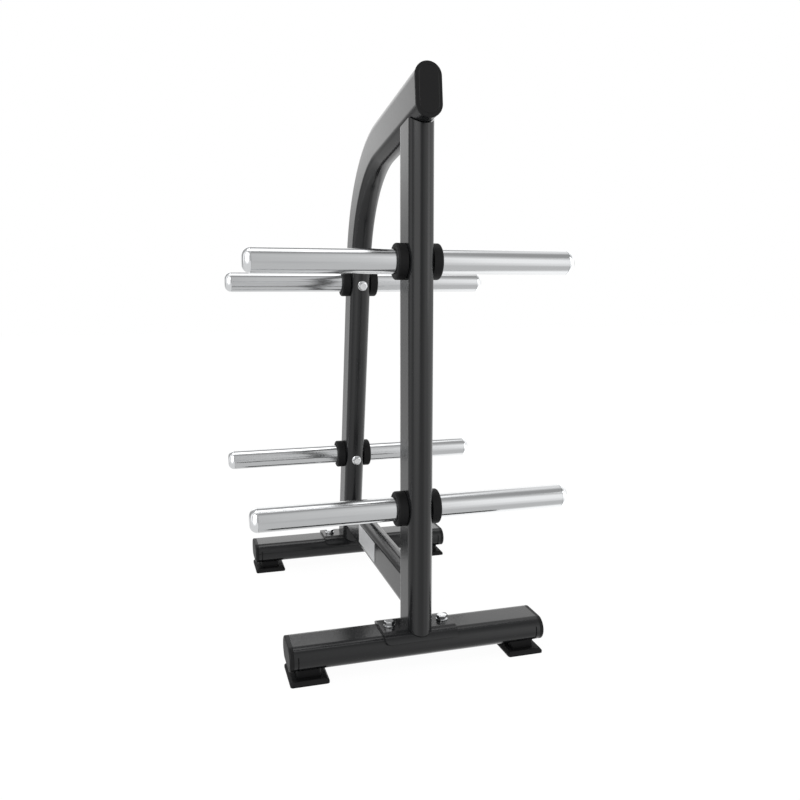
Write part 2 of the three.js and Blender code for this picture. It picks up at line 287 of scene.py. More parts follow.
@cache
def flat_oval_tube_tree():
    """A flat-oval tube along a path, with the path's corners rounded to the bend radius."""
    graph = TreeGraph(
        "flat_oval_tube",
        Width="Float",
        Depth="Float",
        Wall="Float",
        Bend_radius="Float",
        Bend_steps="Int",
        Round_steps="Int",
    )
    path = graph.node("GeometryNodeMeshToCurve", None, {0: graph.input("Geometry")})
    bend = {"Curve": path, "Count": graph.input("Bend steps"), "Radius": graph.input("Bend radius")}
    bent = graph.node("GeometryNodeFilletCurve", {"mode": "POLY"}, bend)
    level = graph.node("GeometryNodeSetCurveNormal", {"mode": "Z_UP"}, {0: bent})

    def bar(inset):
        """The path as a solid flat-oval bar, inset from the tube's outside."""
        width = graph.input("Width") - inset * 2
        depth = graph.input("Depth") - inset * 2
        inputs = {"Width": width, "Height": depth}
        corners = graph.node("GeometryNodeCurvePrimitiveQuadrilateral", None, inputs)
        rounding = width.math("MINIMUM", width, depth) / 2
        steps = graph.input("Round steps")
        inputs = {"Curve": corners, "Count": steps, "Radius": rounding, "Limit Radius": True}
        outline = graph.node("GeometryNodeFilletCurve", {"mode": "POLY"}, inputs)
        inputs = {"Curve": level, "Profile Curve": outline, "Fill Caps": True}
        body = graph.node("GeometryNodeCurveToMesh", None, inputs)
        inputs = {"Geometry": body, "Distance": MERGE_DISTANCE}
        return graph.node("GeometryNodeMergeByDistance", None, inputs)

    inputs = {"Mesh 1": bar(graph.input("Wall") * 0), "Mesh 2": bar(graph.input("Wall"))}
    settings = {"operation": "DIFFERENCE", "solver": "EXACT"}
    return graph.finish(graph.node("GeometryNodeMeshBoolean", settings, inputs))


@cache
def copies_tree():
    """Copies of a part at the points of a mesh, each turned by its own turn attribute."""
    graph = TreeGraph("copies_at_places", Part="Object")
    part = graph.node("GeometryNodeObjectInfo", None, {"Object": graph.input("Part")}, "Geometry")
    turn = graph.node("GeometryNodeInputNamedAttribute", {"data_type": "FLOAT_VECTOR"}, {"Name": "turn"})
    rotation = graph.node("FunctionNodeEulerToRotation", None, {0: turn})
    inputs = {"Points": graph.input("Geometry"), "Instance": part, "Rotation": rotation}
    return graph.finish(graph.node("GeometryNodeInstanceOnPoints", None, inputs))


def grow(name, mesh, group, slot, **inputs):
    """A plain mesh from a geometry tree, run on a mesh with these inputs."""
    obj = new_object(name, mesh)
    modifier = obj.modifiers.new("Grow", "NODES")
    modifier.node_group = group
    inputs["Material"] = finish(slot)
    for item in group.interface.items_tree:
        label = item.name.replace(" ", "_")
        if item.in_out == "INPUT" and label in inputs:
            modifier[item.identifier] = inputs[label]
    return settle(obj)


# Mesh work

SAME_POINT = 1e-7
CORNER_STEPS = 6
BEVEL_STEPS = 2
CREASE = radians(32)
FACE_WEIGHT = 60


def new_object(name, mesh):
    obj = bpy.data.objects.new(name, mesh)
    bpy.context.scene.collection.objects.link(obj)
    return obj


def new_mesh(name, points, edges=(), faces=()):
    mesh = bpy.data.meshes.new(name)
    mesh.from_pydata([tuple(point) for point in points], list(edges), list(faces))
    mesh.update()
    return mesh


def settle(obj):
    """Turns an object's modifiers into its own plain mesh."""
    depsgraph = bpy.context.evaluated_depsgraph_get()
    mesh = bpy.data.meshes.new_from_object(obj.evaluated_get(depsgraph), depsgraph=depsgraph)
    obj.modifiers.clear()
    obj.data = mesh
    return obj


def discard(*objects):
    for obj in objects:
        bpy.data.objects.remove(obj)


def loft(name, rings, loop=False, place=None):
    """A closed body through rings of points. A loop joins its last ring to its first."""
    count = len(rings[0])
    points = [point for ring in rings for point in ring]
    if place is not None:
        points = [place @ Vector(point) for point in points]
    faces = []
    pairs = [(low, low + 1) for low in range(len(rings) - 1)]
    if loop:
        pairs.append((len(rings) - 1, 0))
    for low, high in pairs:
        for index in range(count):
            after = (index + 1) % count
            corners = ((low, index), (low, after), (high, after), (high, index))
            faces.append([ring * count + corner for ring, corner in corners])
    if not loop:
        last = (len(rings) - 1) * count
        faces.append(tuple(reversed(range(count))))
        faces.append(tuple(range(last, last + count)))
    mesh = new_mesh(name, points, faces=faces)
    body = bmesh.new()
    body.from_mesh(mesh)
    bmesh.ops.remove_doubles(body, verts=body.verts, dist=SAME_POINT)
    bmesh.ops.recalc_face_normals(body, faces=body.faces)
    body.to_mesh(mesh)
    body.free()
    return new_object(name, mesh)


def circle(radius, height, count):
    angles = [2 * pi * step / count for step in range(count)]
    return [Vector((radius * cos(angle), radius * sin(angle), height)) for angle in angles]


def turned(name, profile, count, loop=False, place=None):
    """A body turned about Z, from radii and heights."""
    return loft(name, [circle(radius, height, count) for radius, height in profile], loop, place)


def oval(width, depth, height, steps, stretch=(1.0, 1.0)):
    """Flat-oval outline: width along X, depth along Y. Its rounds may be stretched."""
    radius = width / 2
    flat = (depth - width) / 2
    points = []
    for turn, shift in ((0, flat), (pi, -flat)):
        for step in range(steps + 1):
            angle = turn + pi * step / steps
            across = radius * stretch[0] * cos(angle)
            points.append(Vector((across, shift + radius * stretch[1] * sin(angle), height)))
    return points


def rounded(width, length, corner, height):
    """Rectangle with round corners."""
    points = []
    for quarter, (across, along) in enumerate(((1, 1), (-1, 1), (-1, -1), (1, -1))):
        for step in range(CORNER_STEPS + 1):
            angle = (quarter + step / CORNER_STEPS) * pi / 2
            x = across * (width / 2 - corner) + corner * cos(angle)
            y = along * (length / 2 - corner) + corner * sin(angle)
            points.append(Vector((x, y, height)))
    return points


def quarter_round(radius, steps):
    """Steps round an edge, as the inset from the side and the drop from the top."""
    angles = [pi / 2 * step / steps for step in range(steps + 1)]
    return [(radius * (1 - cos(angle)), radius * (1 - sin(angle))) for angle in angles]


def carve(obj, *cutters, operation="DIFFERENCE"):
    for cutter in cutters:
        modifier = obj.modifiers.new("Carve", "BOOLEAN")
        modifier.operation = operation
        modifier.solver = "EXACT"
        modifier.object = cutter
    settle(obj)
    discard(*cutters)
    return obj


def smooth(obj, edge=0.0):
    """Shades the round stretches smoothly, after a small bevel on the hard edges where one is given."""
    if edge:
        bevel = obj.modifiers.new("Edges", "BEVEL")
        bevel.width = edge
        bevel.segments = BEVEL_STEPS
        bevel.limit_method = "ANGLE"
        bevel.angle_limit = CREASE
        bevel.harden_normals = False
        settle(obj)
    mesh = obj.data
    body = bmesh.new()
    body.from_mesh(mesh)
    bmesh.ops.dissolve_degenerate(body, dist=SAME_POINT, edges=body.edges)
    body.to_mesh(mesh)
    body.free()
    mesh.shade_smooth()
    mesh.set_sharp_from_angle(angle=CREASE)
    weighted = obj.modifiers.new("Normals", "WEIGHTED_NORMAL")
    weighted.keep_sharp = True
    weighted.weight = FACE_WEIGHT
    return settle(obj)


def wear(obj, slot, *nodes):
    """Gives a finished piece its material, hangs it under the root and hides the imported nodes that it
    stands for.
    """
    obj.data.materials.clear()
    obj.data.materials.append(finish(slot))
    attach(obj, "root")
    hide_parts(*nodes)


def corner_places(kind, height, turns=(0, 0, 0, 0)):
    """Places of four like pieces on the feet, at one height, each with its turn about Z in degrees."""
    places = {}
    for (end, side), turn in zip(CORNERS, turns):
        node = f"{end}_{side}_{kind}"
        centre = middle(node)
        places[node] = ((centre.x, centre.y, height), (0, 0, radians(turn)))
    return places


def part_copies(part, places, slot):
    """Copies of a part at named places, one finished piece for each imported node."""
    points = new_mesh("places", [place for place, _ in places.values()])
    turns = points.attributes.new("turn", "FLOAT_VECTOR", "POINT")
    for item, (_, turn) in zip(turns.data, places.values()):
        item.vector = turn
    copies = grow("copies", points, copies_tree(), slot, Part=part)
    count = len(part.data.vertices)
    faces = len(part.data.polygons)
    mesh = copies.data
    for index, node in enumerate(places):
        first = index * count
        corners = [vertex.co for vertex in mesh.vertices[first : first + count]]
        own_faces = mesh.polygons[index * faces : (index + 1) * faces]
        polygons = [[vertex - first for vertex in face.vertices] for face in own_faces]
        piece = smooth(new_object(f"{node}_shown", new_mesh(node, corners, faces=polygons)))
        wear(piece, slot, node)
    discard(copies, part)


# Finishes


def powder_coat(graph, colour):
    place = graph.place()
    cloud = graph.noise(place, scale=7.0, detail=3.0)
    peel = graph.noise(place, scale=420.0, detail=2.0)
    grain = graph.noise(place, scale=2600.0, detail=1.0)
    graph.surface(
        Base_Color=graph.shade(cloud, colour, darker=0.9, lighter=1.1),
        Roughness=0.15 + cloud * 0.04 + grain * 0.05,
        Specular_IOR_Level=0.45,
        Normal=graph.bump(peel, strength=0.8, distance=0.00006),
    )


def chrome_plate(graph, colour):
    """Bars of one shade, with a painted highlight that makes the plugs beyond the ends of their tubes
    brighter.
    """
    place = graph.place()
    lines = graph.noise(graph.place(stretch=(1.0, 0.02, 0.02)), scale=2400.0, detail=1.0)
    cloud = graph.noise(place, scale=25.0, detail=2.0)
    ripple = graph.noise(place, scale=700.0, detail=2.0)
    along = graph.node("ShaderNodeSeparateXYZ", None, {0: place}, "X")
    reach = along.math("ABSOLUTE", along)
    # Painted highlight: the plugs' lighter colour stands in for the bright reflection on their rounded
    # ends.
    plug_highlight = reach.math("GREATER_THAN", reach, BAR_TUBE_LENGTH / 2)
    grooves = graph.bump(lines, strength=0.03, distance=0.00002)
    graph.surface(
        Base_Color=graph.shade(cloud * 0.1 + plug_highlight * 0.9, colour, darker=0.98, lighter=1.38),
        Metallic=1.0,
        Roughness=0.11 + lines * 0.04 + cloud * 0.02,
        Normal=graph.bump(ripple, strength=0.6, distance=0.00002, under=grooves),
    )


def zinc_plate(graph, colour):
    place = graph.place()
    cloud = graph.noise(place, scale=160.0, detail=3.0)
    grain = graph.noise(place, scale=2200.0, detail=2.0)
    graph.surface(
        Base_Color=graph.shade(cloud, colour, darker=0.96, lighter=1.03),
        Metallic=1.0,
        Roughness=0.06 + cloud * 0.04 + grain * 0.02,
        Normal=graph.bump(grain, strength=0.04, distance=0.00002),
    )


def moulded_rubber(graph, colour):
    place = graph.place()
    cloud = graph.noise(place, scale=30.0, detail=3.0)
    grain = graph.noise(place, scale=1900.0, detail=3.0)
    graph.surface(
        Base_Color=graph.shade(cloud, colour, darker=0.85, lighter=1.2),
        Roughness=0.5 + cloud * 0.12 + grain * 0.08,
        Specular_IOR_Level=0.22,
        Normal=graph.bump(grain, strength=0.25, distance=0.00006),
    )


def grained_plastic(graph, colour):
    place = graph.place()
    cloud = graph.noise(place, scale=20.0, detail=2.0)
    grain = graph.noise(place, scale=1500.0, detail=2.0)
    graph.surface(
        Base_Color=graph.shade(cloud, colour, darker=0.92, lighter=1.1),
        Roughness=0.42 + grain * 0.12,
        Specular_IOR_Level=0.25,
        Normal=graph.bump(grain, strength=0.2, distance=0.00008),
    )


def satin_plate(graph, colour):
    lines = graph.noise(graph.place(stretch=(1.0, 1.0, 60.0)), scale=60.0, detail=3.0)
    cloud = graph.noise(graph.place(), scale=14.0, detail=2.0)
    graph.surface(
        Base_Color=graph.shade(lines, colour, darker=0.95, lighter=1.04),
        Metallic=0.35,
        Roughness=0.36 + lines * 0.08 + cloud * 0.06,
        Normal=graph.bump(lines, strength=0.05, distance=0.00002),
    )


FINISHES = {
    "frame_paint": (powder_coat, "paint"),
    "bar_chrome": (chrome_plate, "chrome"),
    "zinc_fasteners": (zinc_plate, "zinc"),
    "collar_rubber": (moulded_rubber, "rubber"),
    "pad_rubber": (moulded_rubber, "rubber"),
    "black_plastic": (grained_plastic, "plastic"),
    "name_plate": (satin_plate, "name_plate"),
}


@cache
def finish(slot):
    """The material of a slot, made once."""
    make, colour = FINISHES[slot]
    material = bpy.data.materials.new(slot)
    material.use_nodes = True
    make(ShaderGraph(material.node_tree), tuple(getattr(bpy.context.scene.rack_finishes, colour)))
    return material


# Frame tubes

# Turn that lays a body on Z along X
X_ALONG = Matrix.Rotation(pi / 2, 4, "Y")

# Tube trimmed off the beam's end, lengths of the cutters, and steps round them
BEAM_WASTE = 0.03
CUTTER_LENGTH = 0.2
HOLE_REACH = 0.06
CUTTER_STEPS = 32
BORE_STEPS = 64

SADDLE_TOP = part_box("front_saddle_plate")[1].z - FEET["front"].z
BOLT_HOLE = 0.0126
STEM_HOLE = 0.0166
SEAM_STRETCH = (1.04, 1.0)


def tube(name, path, width, depth, wall):
    given = sizes()
    edges = [(i, i + 1) for i in range(len(path) - 1)]
    return grow(
        name,
        new_mesh(name, path, edges),
        flat_oval_tube_tree(),
        "frame_paint",
        Width=width,
        Depth=depth,
        Wall=wall,
        Bend_radius=given.bend_radius,
        Bend_steps=given.bend_steps,
        Round_steps=given.round_steps,
    )


def oval_cutter(place, grown, stretch):
    """A flat-oval bar grown all round by a fit, to cope a tube that ends on it. Its rounds are stretched,
    because the tube's end is cut square to its wall and would touch the bar with the wall's inner side."""
    width, depth = TUBE_WIDTH + 2 * grown, TUBE_DEPTH + 2 * grown
    ends = [side * CUTTER_LENGTH / 2 for side in (-1, 1)]
    return loft("cutter", [oval(width, depth, end, CUTTER_STEPS, stretch) for end in ends], place=place)


def wall_stretch(width, wall):
    return width / (width - 2 * wall)


def round_cutter(place, diameter, low=0.0, high=HOLE_REACH, count=CUTTER_STEPS):
    return turned("cutter", [(diameter / 2, low), (diameter / 2, high)], count, place=place)


def slab_cutter(low, high, place=None):
    """A box cutter between two corners."""
    outline = ((low[0], low[1]), (high[0], low[1]), (high[0], high[1]), (low[0], high[1]))
    rings = [[Vector((x, y, z)) for x, y in outline] for z in (low[2], high[2])]
    return loft("cutter", rings, place=place)


def saddle_cutter(end):
    """The top of a saddle plate, which the upright and the beam stand on."""
    grown = SADDLE_TOP + sizes().gap - TUBE_WIDTH / 2
    stretch = (1.0, wall_stretch(TUBE_WIDTH, sizes().wall))
    return oval_cutter(Matrix.Translation(FEET[end]) @ X_ALONG, grown, stretch)


def bar_turn(level):
    """Turn about X that brings a bar's set bolt to the free face of its tube."""
    return pi if level in FRONT_BARS else LEG_LEAN


def set_bolt_cutter(level):
    turn = Matrix.Rotation(bar_turn(level) + pi / 2, 4, "X")
    return round_cutter(Matrix.Translation(BAR_CENTRES[level]) @ turn, BOLT_HOLE)


def bar_cutters(levels):
    """The bores of the bars and the holes of their set bolts."""
    bore = BAR_DIAMETER + 2 * sizes().gap
    cutters = []
    for level in levels:
        place = Matrix.Translation(BAR_CENTRES[level]) @ X_ALONG
        cutters.append(round_cutter(place, bore, -HOLE_REACH, HOLE_REACH, BORE_STEPS))
        cutters.append(set_bolt_cutter(level))
    return cutters


def saddle_bolt_cutter(end, side):
    """A hole through the top of a foot and the saddle plate over it."""
    bolt = middle(f"{end}_{side}_saddle_bolt")
    return round_cutter(Matrix.Translation((bolt.x, bolt.y, FEET[end].z)), BOLT_HOLE)


def beam_height(back):
    """Height of the beam's centre line at a place along Y."""
    given = sizes()
    return given.beam_height - (back - UPRIGHT_BACK) * tan(given.beam_fall)


def beam_corner():
    """Where the centre lines of the beam and the rear leg would cross."""
    fall, lean = tan(sizes().beam_fall), tan(LEG_LEAN)
    height = (beam_height(LEG_FOOT.y) - LEG_FOOT.z * lean * fall) / (1 - lean * fall)
    return Vector((0, leg_back(height), height))


def beam_end():
    """Middle of the beam's front end, which is square to the beam."""
    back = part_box("bent_beam")[0].y + TUBE_DEPTH / 2 * sin(sizes().beam_fall)
    return Vector((0, back, beam_height(back)))


class RACK_OT_bent_beam(bpy.types.Operator):
    """Flat-oval beam that bends down into the rear leg"""

    bl_idname = "rack.bent_beam"
    bl_label = "Bent beam"

    def execute(self, context):
        end = beam_end()
        start = end.y - BEAM_WASTE
        path = [(0, start, beam_height(start)), beam_corner(), LEG_FOOT]
        beam = tube("bent_beam_shown", path, TUBE_WIDTH, TUBE_DEPTH, sizes().wall)
        place = Matrix.Translation(end) @ Matrix.Rotation(-sizes().beam_fall, 4, "X")
        low, high = (-TUBE_WIDTH, -TUBE_DEPTH, -TUBE_DEPTH), (TUBE_WIDTH, 0.0, TUBE_DEPTH)
        carve(beam, slab_cutter(low, high, place), saddle_cutter("rear"), *bar_cutters(REAR_BARS))
        wear(smooth(beam), "frame_paint", "bent_beam")
        return {"FINISHED"}


class RACK_OT_front_upright(bpy.types.Operator):
    """Straight upright, coped under the beam and over its saddle plate"""

    bl_idname = "rack.front_upright"
    bl_label = "Front upright"

    def execute(self, context):
        given = sizes()
        ends = (FEET["front"].z, given.beam_height)
        path = [(0, UPRIGHT_BACK, height) for height in ends]
        upright = tube("front_upright_shown", path, TUBE_WIDTH, TUBE_DEPTH, given.wall)
        place = Matrix.Translation((0, UPRIGHT_BACK, given.beam_height))
        turn = Matrix.Rotation(-pi / 2 - given.beam_fall, 4, "X")
        beam = oval_cutter(place @ turn, given.seam, SEAM_STRETCH)
        carve(upright, beam, saddle_cutter("front"), *bar_cutters(FRONT_BARS))
        wear(smooth(upright), "frame_paint", "front_upright")
        return {"FINISHED"}


class RACK_OT_cross_member(bpy.types.Operator):
    """Cross member between the upright and the rear leg"""

    bl_idname = "rack.cross_member"
    bl_label = "Cross member"

    def execute(self, context):
        given = sizes()
        size = extent("cross_member")
        height = middle("cross_member").z
        back = leg_back(height)
        path = [(0, UPRIGHT_BACK, height), (0, back, height)]
        member = tube("cross_member_shown", path, size.x, size.z, given.brace_wall)
        stretch = (wall_stretch(size.x, given.brace_wall), 1.0)
        upright = Matrix.Translation((0, UPRIGHT_BACK, height))
        leg = Matrix.Translation((0, back, height)) @ Matrix.Rotation(LEG_LEAN, 4, "X")
        carve(member, *(oval_cutter(place, given.gap, stretch) for place in (upright, leg)))
        wear(smooth(member), "frame_paint", "cross_member")
        return {"FINISHED"}


# A slit's inset from the foot's end, and its drop from the foot's top
SLIT_WIDTH = 0.002
SLIT_INSET = 0.0085
SLIT_DROP = 0.0145


class RACK_OT_feet(bpy.types.Operator):
    """The two feet, with their slits and holes"""

    bl_idname = "rack.feet"
    bl_label = "Feet"

    def execute(self, context):
        for end, centre in FEET.items():
            half = extent(f"{end}_foot").x / 2
            path = [centre + Vector((side * half, 0, 0)) for side in (-1, 1)]
            foot = tube(f"{end}_foot_shown", path, TUBE_DEPTH, TUBE_WIDTH, sizes().wall)
            slit_top = centre.z + TUBE_WIDTH / 2 - SLIT_DROP
            cutters = []
            for side, sign in SIDES.items():
                pad = middle(f"{end}_{side}_foot_pad")
                stem = Matrix.Translation((pad.x, pad.y, centre.z))
                slit = centre.x + sign * (half - SLIT_INSET)
                low = (slit - SLIT_WIDTH / 2, centre.y - HOLE_REACH, slit_top - TUBE_WIDTH)
                high = (slit + SLIT_WIDTH / 2, centre.y + HOLE_REACH, slit_top)
                cutters.append(saddle_bolt_cutter(end, side))
                cutters.append(round_cutter(stem, STEM_HOLE, -HOLE_REACH, 0.0))
                cutters.append(slab_cutter(low, high))
            carve(foot, *cutters)
            wear(smooth(foot), "frame_paint", f"{end}_foot")
        return {"FINISHED"}


SADDLE_CORNER = 0.01
SADDLE_EDGE = 0.0008
SADDLE_ARC_STEPS = 28
SADDLE_COLUMNS = 40


def saddle_sheet(node, centre):
    """The outer face of a saddle plate, round the foot's sides, with round corners at its lower edges."""
    low, high = (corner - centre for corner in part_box(node))
    flat = (TUBE_DEPTH - TUBE_WIDTH) / 2
    start = asin(low.z / high.z)
    turn = (pi / 2 - start) / SADDLE_ARC_STEPS
    angles = [start + turn * step for step in range(SADDLE_ARC_STEPS + 1)]
    front = [(-flat - high.z * cos(angle), high.z * sin(angle)) for angle in angles]
    section = front + [(-back, height) for back, height in reversed(front)]
    shares = [2 * column / SADDLE_COLUMNS - 1 for column in range(SADDLE_COLUMNS + 1)]
    points = []
    for back, height in section:
        rise = min(height - low.z, SADDLE_CORNER)
        half = high.x - SADDLE_CORNER + sqrt(SADDLE_CORNER**2 - (SADDLE_CORNER - rise) ** 2)
        points += [centre + Vector((half * share, back, height)) for share in shares]
    faces = []
    for row in range(len(section) - 1):
        for column in range(SADDLE_COLUMNS):
            first = row * len(shares) + column
            after = first + len(shares)
            faces.append((first, first + 1, after + 1, after))
    return new_object(f"{node}_shown", new_mesh(node, points, faces=faces))


class RACK_OT_saddle_plates(bpy.types.Operator):
    """The two curved plates over the feet"""

    bl_idname = "rack.saddle_plates"
    bl_label = "Saddle plates"

    def execute(self, context):
        for end, centre in FEET.items():
            node = f"{end}_saddle_plate"
            plate = saddle_sheet(node, centre)
            solid = plate.modifiers.new("Thickness", "SOLIDIFY")
            solid.thickness = SADDLE_TOP - TUBE_WIDTH / 2 - sizes().gap
            solid.offset = -1.0
            solid.use_even_offset = True
            settle(plate)
            carve(plate, *(saddle_bolt_cutter(end, side) for side in SIDES))
            wear(smooth(plate, SADDLE_EDGE), "frame_paint", node)
        return {"FINISHED"}


# Plastic end caps and rubber pads


# The groove's bottom and each of its slopes are equally wide
GROOVE_WIDTH = 0.0006
GROOVE_DEPTH = 0.0004
CAP_EDGE = 0.0003
CAP_STEPS = 24
SLEEVE_DEPTH = 0.012
SLEEVE_CHAMFER = 0.0008
SLEEVE_WALL = 0.0025


def end_cap(name, thick, rounding, overhang, panel, place=None):
    """A cap along +Z from a tube's end, with a hollow sleeve. A groove frames its panel at an inset."""

    def ring(inset, height):
        return oval(TUBE_WIDTH - 2 * inset, TUBE_DEPTH - 2 * inset, height, CAP_STEPS)

    crown = [
        ring(panel + 2 * GROOVE_WIDTH, thick),
        ring(panel + GROOVE_WIDTH, thick - GROOVE_DEPTH),
        ring(panel, thick - GROOVE_DEPTH),
        ring(panel - GROOVE_WIDTH, thick),
    ]
    steps = reversed(quarter_round(rounding, CORNER_STEPS))
    edge = [ring(inset - overhang, thick - drop) for inset, drop in steps]
    outside = sizes().wall + sizes().gap
    sleeve = [
        ring(CAP_EDGE - overhang, 0.0),
        ring(outside, 0.0),
        ring(outside, SLEEVE_CHAMFER - SLEEVE_DEPTH),
        ring(outside + SLEEVE_CHAMFER, -SLEEVE_DEPTH),
        ring(outside + SLEEVE_WALL, -SLEEVE_DEPTH),
        ring(outside + SLEEVE_WALL, 0.0),
    ]
    return loft(name, crown + edge + sleeve, place=place)


class RACK_OT_end_caps(bpy.types.Operator):
    """Black plastic caps in the feet and in the beam"""

    bl_idname = "rack.end_caps"
    bl_label = "End caps"

    def execute(self, context):
        given = sizes()
        for end, centre in FEET.items():
            half = extent(f"{end}_foot").x / 2 + given.gap
            part = end_cap("part", thick=0.0087, rounding=0.003, overhang=0.0, panel=0.007)
            places = {}
            for side, sign in SIDES.items():
                place = centre + Vector((sign * half, 0, 0))
                places[f"{end}_{side}_foot_end_cap"] = (place, (0, sign * pi / 2, 0))
            part_copies(part, places, "black_plastic")
        turn = Matrix.Rotation(pi / 2 - given.beam_fall, 4, "X")
        place = Matrix.Translation(beam_end()) @ turn @ Matrix.Translation((0, 0, given.gap))
        name = "beam_end_cap_shown"
        cap = end_cap(name, thick=0.005, rounding=0.0015, overhang=0.001, panel=0.006, place=place)
        wear(smooth(cap), "black_plastic", "beam_end_cap")
        return {"FINISHED"}


# A pad's rim and height over the floor, its slope inwards above the rim and the softness of its edges
PAD_RIM = 0.0055
PAD_HEIGHT = 0.0105
PAD_DRAFT = 0.0045
PAD_CORNER = 0.005
PAD_EDGE = 0.0006
PAD_FOLD = 0.0007
PAD_FOLD_IN = 0.0004
PAD_FOLD_UP = 0.0002
PAD_TOP_IN = 0.0001
PAD_NECK = (0.048, 0.062)

# The barbed stem that holds a pad in its foot, from inside the neck upwards
STEM_RADIUS = 0.008
STEM_ROOT = 0.003
STEM_LENGTH = 0.0036
BARB_RADIUS = 0.01
BARB_LENGTH = 0.006


class RACK_OT_foot_pads(bpy.types.Operator):
    """Rubber pads under the feet"""

    bl_idname = "rack.foot_pads"
    bl_label = "Foot pads"

    def execute(self, context):
        size = extent("front_left_foot_pad")
        top = FEET["front"].z - TUBE_WIDTH / 2 - sizes().gap
        profile = [
            (PAD_EDGE, 0.0),
            (0.0, PAD_EDGE),
            (0.0, PAD_RIM - PAD_FOLD),
            (PAD_FOLD_IN, PAD_RIM + PAD_FOLD_UP),
            (PAD_DRAFT - PAD_FOLD, PAD_HEIGHT - PAD_FOLD),
            (PAD_DRAFT - PAD_TOP_IN, PAD_HEIGHT - PAD_FOLD_UP),
            (PAD_DRAFT + PAD_EDGE, PAD_HEIGHT),
        ]
        sides = [(size.x - 2 * inset, size.y - 2 * inset, height) for inset, height in profile]
        sides += [(*PAD_NECK, PAD_HEIGHT), (*PAD_NECK, top)]
        pad = loft("part", [rounded(width, length, PAD_CORNER, height) for width, length, height in sides])
        stem = [
            (STEM_RADIUS, top - STEM_ROOT),
            (STEM_RADIUS, top + STEM_LENGTH),
            (BARB_RADIUS, top + STEM_LENGTH),
            (STEM_RADIUS, top + STEM_LENGTH + BARB_LENGTH),
        ]
        carve(pad, turned("stem", stem, CUTTER_STEPS), operation="UNION")
        part_copies(pad, corner_places("foot_pad", 0.0), "pad_rubber")
        return {"FINISHED"}


# Storage bars and what is on them

BAR_ROUNDING = 0.015
BAR_WALL = 0.003
BAR_EDGE = 0.0003
BAR_STEPS = 96
PLUG_STEPS = 20
SPIGOT_LENGTH = 0.02
SPIGOT_CHAMFER = 0.001
COLLAR_ROUNDING = 0.004
COLLAR_STEPS = 8


def bar_places(kind, reach):
    """Places at a reach along both sides of each bar, with the turn that points a part outwards there."""
    places = {}
    for level, centre in BAR_CENTRES.items():
        for side, sign in SIDES.items():
            place = centre + Vector((sign * reach, 0, 0))
            places[f"{level}_{side}_{kind}"] = (place, (0, sign * pi / 2, 0))
    return places


class RACK_OT_storage_bars(bpy.types.Operator):
    """Chromed bars that the plates hang on"""

    bl_idname = "rack.storage_bars"
    bl_label = "Storage bars"

    def execute(self, context):
        outer, half = BAR_DIAMETER / 2, BAR_TUBE_LENGTH / 2
        inner = outer - BAR_WALL
        profile = [
            (inner, -half),
            (outer - BAR_EDGE, -half),
            (outer, BAR_EDGE - half),
            (outer, half - BAR_EDGE),
            (outer - BAR_EDGE, half),
            (inner, half),
        ]
        for level, centre in BAR_CENTRES.items():
            place = Matrix.Translation(centre) @ X_ALONG
            bar = turned(f"{level}_bar_shown", profile, BAR_STEPS, loop=True, place=place)
            carve(bar, set_bolt_cutter(level))
            wear(smooth(bar), "bar_chrome", f"{level}_bar")
        return {"FINISHED"}


class RACK_OT_bar_plugs(bpy.types.Operator):
    """Rounded chromed ends of the bars"""

    bl_idname = "rack.bar_plugs"
    bl_label = "Bar plugs"

    def execute(self, context):
        outer = BAR_DIAMETER / 2
        spigot = outer - BAR_WALL - sizes().gap
        profile = [
            (spigot - SPIGOT_CHAMFER, -SPIGOT_LENGTH),
            (spigot, SPIGOT_CHAMFER - SPIGOT_LENGTH),
            (spigot, 0.0),
            (outer - BAR_EDGE, 0.0),
            (outer, BAR_EDGE),
        ]
        steps = quarter_round(BAR_ROUNDING, PLUG_STEPS)[1:]
        profile += [(outer - inset, BAR_ROUNDING - drop) for inset, drop in steps]
        part = turned("part", profile, BAR_STEPS)
        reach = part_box("upper_front_right_bar_plug")[1].x - BAR_ROUNDING
        part_copies(part, bar_places("bar_plug", reach), "bar_chrome")
        return {"FINISHED"}


class RACK_OT_collars(bpy.types.Operator):
    """Rubber collars that the plates stop against"""

    bl_idname = "rack.collars"
    bl_label = "Collars"

    def execute(self, context):
        size = extent("upper_front_left_collar")
        rim, thick = size.y / 2, size.x
        bore = BAR_DIAMETER / 2 + sizes().gap
        inner_edge, rim_edge, outer_edge = 0.0005, 0.0008, 0.001
        profile = [(bore, inner_edge), (bore + inner_edge, 0.0), (rim - rim_edge, 0.0), (rim, rim_edge)]
        steps = quarter_round(COLLAR_ROUNDING, COLLAR_STEPS)
        profile += [(rim - inset, thick - drop) for inset, drop in steps]
        profile += [(bore + outer_edge, thick), (bore, thick - outer_edge)]
        part = turned("part", profile, BAR_STEPS, loop=True)
        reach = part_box("upper_front_right_collar")[0].x
        part_copies(part, bar_places("collar", reach), "collar_rubber")
        return {"FINISHED"}


# Fasteners

ACROSS_FLATS = 0.019
HEAD_HEIGHT = 0.0075
HEAD_STEPS = 60
HEAD_CHAMFER = radians(30)
SHANK_RADIUS = 0.006
SHANK_CHAMFER = 0.001
SEAT_STEP = 0.0001
SEAT_HEIGHT = 0.0004
SEAT_SHARES = (0.93, 0.95)
CROWN_SHARE = 0.94
DISH_DEPTH = 0.0003
DISH_SHARES = (0.72, 0.62)

# How the saddle bolts' heads are turned, in degrees and in the order of the corners
SADDLE_BOLT_TURNS = (40, 50, 35, 55)

WASHER_THICK = 0.0025
WASHER_RIM = 0.012
WASHER_EDGE = 0.0004


def hex_ring(height):
    """A hexagon's outline."""
    points = []
    for index in range(HEAD_STEPS):
        angle = 2 * pi * index / HEAD_STEPS
        radius = ACROSS_FLATS / 2 / cos((angle % (pi / 3)) - pi / 6)
        points.append(Vector((radius * cos(angle), radius * sin(angle), height)))
    return points


